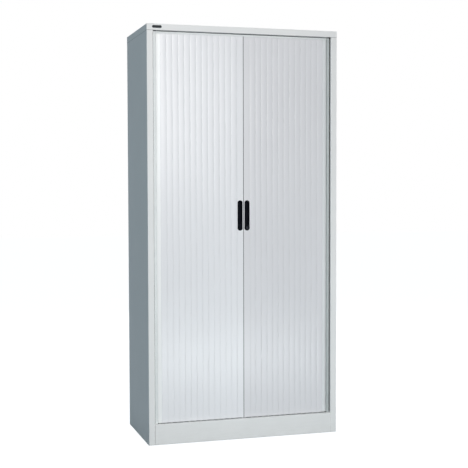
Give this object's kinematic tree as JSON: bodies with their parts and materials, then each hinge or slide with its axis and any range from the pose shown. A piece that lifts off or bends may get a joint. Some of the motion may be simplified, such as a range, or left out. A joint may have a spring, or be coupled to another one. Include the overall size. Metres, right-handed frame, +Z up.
{
  "type": "roll front storage cupboard",
  "caption": "Tall steel cupboard with two side-opening tambour shutters of interlocking vertical slats, a swing-hook lock and adjustable shelves.",
  "frame": {"origin": "on the floor under the middle of the cupboard", "axes": "+Z up, +X to the right seen from the front, +Y from the front to the back"},
  "size_m": [0.95, 0.475, 1.98],
  "materials": {
    "paint": "satin silver grey powder coat",
    "slat": "satin pale silver",
    "handle": "fine matt",
    "zinc": "zinc plated",
    "chrome": "black chrome"
  },
  "bodies": {
    "carcass": {"top_cap": "paint", "roof_panel": "paint", "base_panel": "paint", "back_panel": "paint", "plinth": "paint", "shelf_clips": "zinc", "left_side_panel": "paint", "left_liner": "paint", "left_lower_track": "paint", "left_upper_track": "paint", "left_uprights": "paint", "right_side_panel": "paint", "right_liner": "paint", "right_lower_track": "paint", "right_upper_track": "paint", "right_uprights": "paint", "shelf_1": "paint", "shelf_2": "paint", "shelf_3": "paint", "shelf_4": "paint", "shelf_5": "paint"},
    "right_lead": {"right_stile": "slat", "right_handle": "handle"},
    "left_lead": {"left_stile": "slat", "left_handle": "handle", "lock_keeper": "zinc"},
    "lock": {"lock_barrel": "chrome", "lock_hook": "zinc", "lock_nut": "zinc"},
    "left_slat_01": {"left_slat_01": "slat"},
    "left_slat_02": {"left_slat_02": "slat"},
    "left_slat_03": {"left_slat_03": "slat"},
    "left_slat_04": {"left_slat_04": "slat"},
    "left_slat_05": {"left_slat_05": "slat"},
    "left_slat_06": {"left_slat_06": "slat"},
    "left_slat_07": {"left_slat_07": "slat"},
    "left_slat_08": {"left_slat_08": "slat"},
    "left_slat_09": {"left_slat_09": "slat"},
    "left_slat_10": {"left_slat_10": "slat"},
    "left_slat_11": {"left_slat_11": "slat"},
    "left_slat_12": {"left_slat_12": "slat"},
    "left_slat_13": {"left_slat_13": "slat"},
    "left_slat_14": {"left_slat_14": "slat"},
    "right_slat_01": {"right_slat_01": "slat"},
    "right_slat_02": {"right_slat_02": "slat"},
    "right_slat_03": {"right_slat_03": "slat"},
    "right_slat_04": {"right_slat_04": "slat"},
    "right_slat_05": {"right_slat_05": "slat"},
    "right_slat_06": {"right_slat_06": "slat"},
    "right_slat_07": {"right_slat_07": "slat"},
    "right_slat_08": {"right_slat_08": "slat"},
    "right_slat_09": {"right_slat_09": "slat"},
    "right_slat_10": {"right_slat_10": "slat"},
    "right_slat_11": {"right_slat_11": "slat"},
    "right_slat_12": {"right_slat_12": "slat"},
    "right_slat_13": {"right_slat_13": "slat"},
    "right_slat_14": {"right_slat_14": "slat"}
  },
  "joints": [
    {"name": "left_door_slide", "type": "slide", "parent": "carcass", "child": "left_lead", "axis": [-1, 0, 0], "range_m": [0, 0.392], "deforming": ["left_slat_01", "left_slat_02", "left_slat_03", "left_slat_04", "left_slat_05", "left_slat_06", "left_slat_07", "left_slat_08", "left_slat_09", "left_slat_10", "left_slat_11", "left_slat_12", "left_slat_13", "left_slat_14"]},
    {"name": "left_slat_01_slide", "type": "slide", "parent": "carcass", "child": "left_slat_01", "axis": [-1, 0, 0], "range_m": [0, 0.39686]},
    {"name": "left_slat_02_slide", "type": "slide", "parent": "carcass", "child": "left_slat_02", "axis": [-1, 0, 0], "range_m": [0, 0.36914]},
    {"name": "left_slat_03_slide", "type": "slide", "parent": "carcass", "child": "left_slat_03", "axis": [-1, 0, 0], "range_m": [0, 0.34141]},
    {"name": "left_slat_04_slide", "type": "slide", "parent": "carcass", "child": "left_slat_04", "axis": [-1, 0, 0], "range_m": [0, 0.31369]},
    {"name": "left_slat_05_slide", "type": "slide", "parent": "carcass", "child": "left_slat_05", "axis": [-1, 0, 0], "range_m": [0, 0.28597]},
    {"name": "left_slat_06_slide", "type": "slide", "parent": "carcass", "child": "left_slat_06", "axis": [-1, 0, 0], "range_m": [0, 0.25825]},
    {"name": "left_slat_07_slide", "type": "slide", "parent": "carcass", "child": "left_slat_07", "axis": [-1, 0, 0], "range_m": [0, 0.23052]},
    {"name": "left_slat_08_slide", "type": "slide", "parent": "carcass", "child": "left_slat_08", "axis": [-1, 0, 0], "range_m": [0, 0.2028]},
    {"name": "left_slat_09_slide", "type": "slide", "parent": "carcass", "child": "left_slat_09", "axis": [-1, 0, 0], "range_m": [0, 0.17508]},
    {"name": "left_slat_10_slide", "type": "slide", "parent": "carcass", "child": "left_slat_10", "axis": [-1, 0, 0], "range_m": [0, 0.14735]},
    {"name": "left_slat_11_slide", "type": "slide", "parent": "carcass", "child": "left_slat_11", "axis": [-1, 0, 0], "range_m": [0, 0.11963]},
    {"name": "left_slat_12_slide", "type": "slide", "parent": "carcass", "child": "left_slat_12", "axis": [-1, 0, 0], "range_m": [0, 0.09191]},
    {"name": "left_slat_13_slide", "type": "slide", "parent": "carcass", "child": "left_slat_13", "axis": [-1, 0, 0], "range_m": [0, 0.06418]},
    {"name": "left_slat_14_slide", "type": "slide", "parent": "carcass", "child": "left_slat_14", "axis": [-1, 0, 0], "range_m": [0, 0.03696]},
    {"name": "right_door_slide", "type": "slide", "parent": "carcass", "child": "right_lead", "axis": [1, 0, 0], "range_m": [0, 0.392], "deforming": ["right_slat_01", "right_slat_02", "right_slat_03", "right_slat_04", "right_slat_05", "right_slat_06", "right_slat_07", "right_slat_08", "right_slat_09", "right_slat_10", "right_slat_11", "right_slat_12", "right_slat_13", "right_slat_14"]},
    {"name": "right_slat_01_slide", "type": "slide", "parent": "carcass", "child": "right_slat_01", "axis": [1, 0, 0], "range_m": [0, 0.39686]},
    {"name": "right_slat_02_slide", "type": "slide", "parent": "carcass", "child": "right_slat_02", "axis": [1, 0, 0], "range_m": [0, 0.36914]},
    {"name": "right_slat_03_slide", "type": "slide", "parent": "carcass", "child": "right_slat_03", "axis": [1, 0, 0], "range_m": [0, 0.34141]},
    {"name": "right_slat_04_slide", "type": "slide", "parent": "carcass", "child": "right_slat_04", "axis": [1, 0, 0], "range_m": [0, 0.31369]},
    {"name": "right_slat_05_slide", "type": "slide", "parent": "carcass", "child": "right_slat_05", "axis": [1, 0, 0], "range_m": [0, 0.28597]},
    {"name": "right_slat_06_slide", "type": "slide", "parent": "carcass", "child": "right_slat_06", "axis": [1, 0, 0], "range_m": [0, 0.25825]},
    {"name": "right_slat_07_slide", "type": "slide", "parent": "carcass", "child": "right_slat_07", "axis": [1, 0, 0], "range_m": [0, 0.23052]},
    {"name": "right_slat_08_slide", "type": "slide", "parent": "carcass", "child": "right_slat_08", "axis": [1, 0, 0], "range_m": [0, 0.2028]},
    {"name": "right_slat_09_slide", "type": "slide", "parent": "carcass", "child": "right_slat_09", "axis": [1, 0, 0], "range_m": [0, 0.17508]},
    {"name": "right_slat_10_slide", "type": "slide", "parent": "carcass", "child": "right_slat_10", "axis": [1, 0, 0], "range_m": [0, 0.14735]},
    {"name": "right_slat_11_slide", "type": "slide", "parent": "carcass", "child": "right_slat_11", "axis": [1, 0, 0], "range_m": [0, 0.11963]},
    {"name": "right_slat_12_slide", "type": "slide", "parent": "carcass", "child": "right_slat_12", "axis": [1, 0, 0], "range_m": [0, 0.09191]},
    {"name": "right_slat_13_slide", "type": "slide", "parent": "carcass", "child": "right_slat_13", "axis": [1, 0, 0], "range_m": [0, 0.06418]},
    {"name": "right_slat_14_slide", "type": "slide", "parent": "carcass", "child": "right_slat_14", "axis": [1, 0, 0], "range_m": [0, 0.03696]},
    {"name": "lock_turn", "type": "hinge", "parent": "right_lead", "child": "lock", "pos_m": [0.01755, -0.2027, 1.023], "axis": [0, 1, 0], "range_deg": [0, 90]}
  ],
  "couplings": [
    {"joint": "left_slat_01_slide", "follows": "left_door_slide", "ratio": 1.0124},
    {"joint": "left_slat_02_slide", "follows": "left_door_slide", "ratio": 0.94165},
    {"joint": "left_slat_03_slide", "follows": "left_door_slide", "ratio": 0.87093},
    {"joint": "left_slat_04_slide", "follows": "left_door_slide", "ratio": 0.80021},
    {"joint": "left_slat_05_slide", "follows": "left_door_slide", "ratio": 0.72948},
    {"joint": "left_slat_06_slide", "follows": "left_door_slide", "ratio": 0.65876},
    {"joint": "left_slat_07_slide", "follows": "left_door_slide", "ratio": 0.58804},
    {"joint": "left_slat_08_slide", "follows": "left_door_slide", "ratio": 0.51732},
    {"joint": "left_slat_09_slide", "follows": "left_door_slide", "ratio": 0.4466},
    {"joint": "left_slat_10_slide", "follows": "left_door_slide", "ratio": 0.37587},
    {"joint": "left_slat_11_slide", "follows": "left_door_slide", "ratio": 0.30515},
    {"joint": "left_slat_12_slide", "follows": "left_door_slide", "ratio": 0.23443},
    {"joint": "left_slat_13_slide", "follows": "left_door_slide", "ratio": 0.16371},
    {"joint": "left_slat_14_slide", "follows": "left_door_slide", "ratio": 0.094266},
    {"joint": "right_slat_01_slide", "follows": "right_door_slide", "ratio": 1.0124},
    {"joint": "right_slat_02_slide", "follows": "right_door_slide", "ratio": 0.94165},
    {"joint": "right_slat_03_slide", "follows": "right_door_slide", "ratio": 0.87093},
    {"joint": "right_slat_04_slide", "follows": "right_door_slide", "ratio": 0.80021},
    {"joint": "right_slat_05_slide", "follows": "right_door_slide", "ratio": 0.72948},
    {"joint": "right_slat_06_slide", "follows": "right_door_slide", "ratio": 0.65876},
    {"joint": "right_slat_07_slide", "follows": "right_door_slide", "ratio": 0.58804},
    {"joint": "right_slat_08_slide", "follows": "right_door_slide", "ratio": 0.51732},
    {"joint": "right_slat_09_slide", "follows": "right_door_slide", "ratio": 0.4466},
    {"joint": "right_slat_10_slide", "follows": "right_door_slide", "ratio": 0.37587},
    {"joint": "right_slat_11_slide", "follows": "right_door_slide", "ratio": 0.30515},
    {"joint": "right_slat_12_slide", "follows": "right_door_slide", "ratio": 0.23443},
    {"joint": "right_slat_13_slide", "follows": "right_door_slide", "ratio": 0.16371},
    {"joint": "right_slat_14_slide", "follows": "right_door_slide", "ratio": 0.094266}
  ]
}
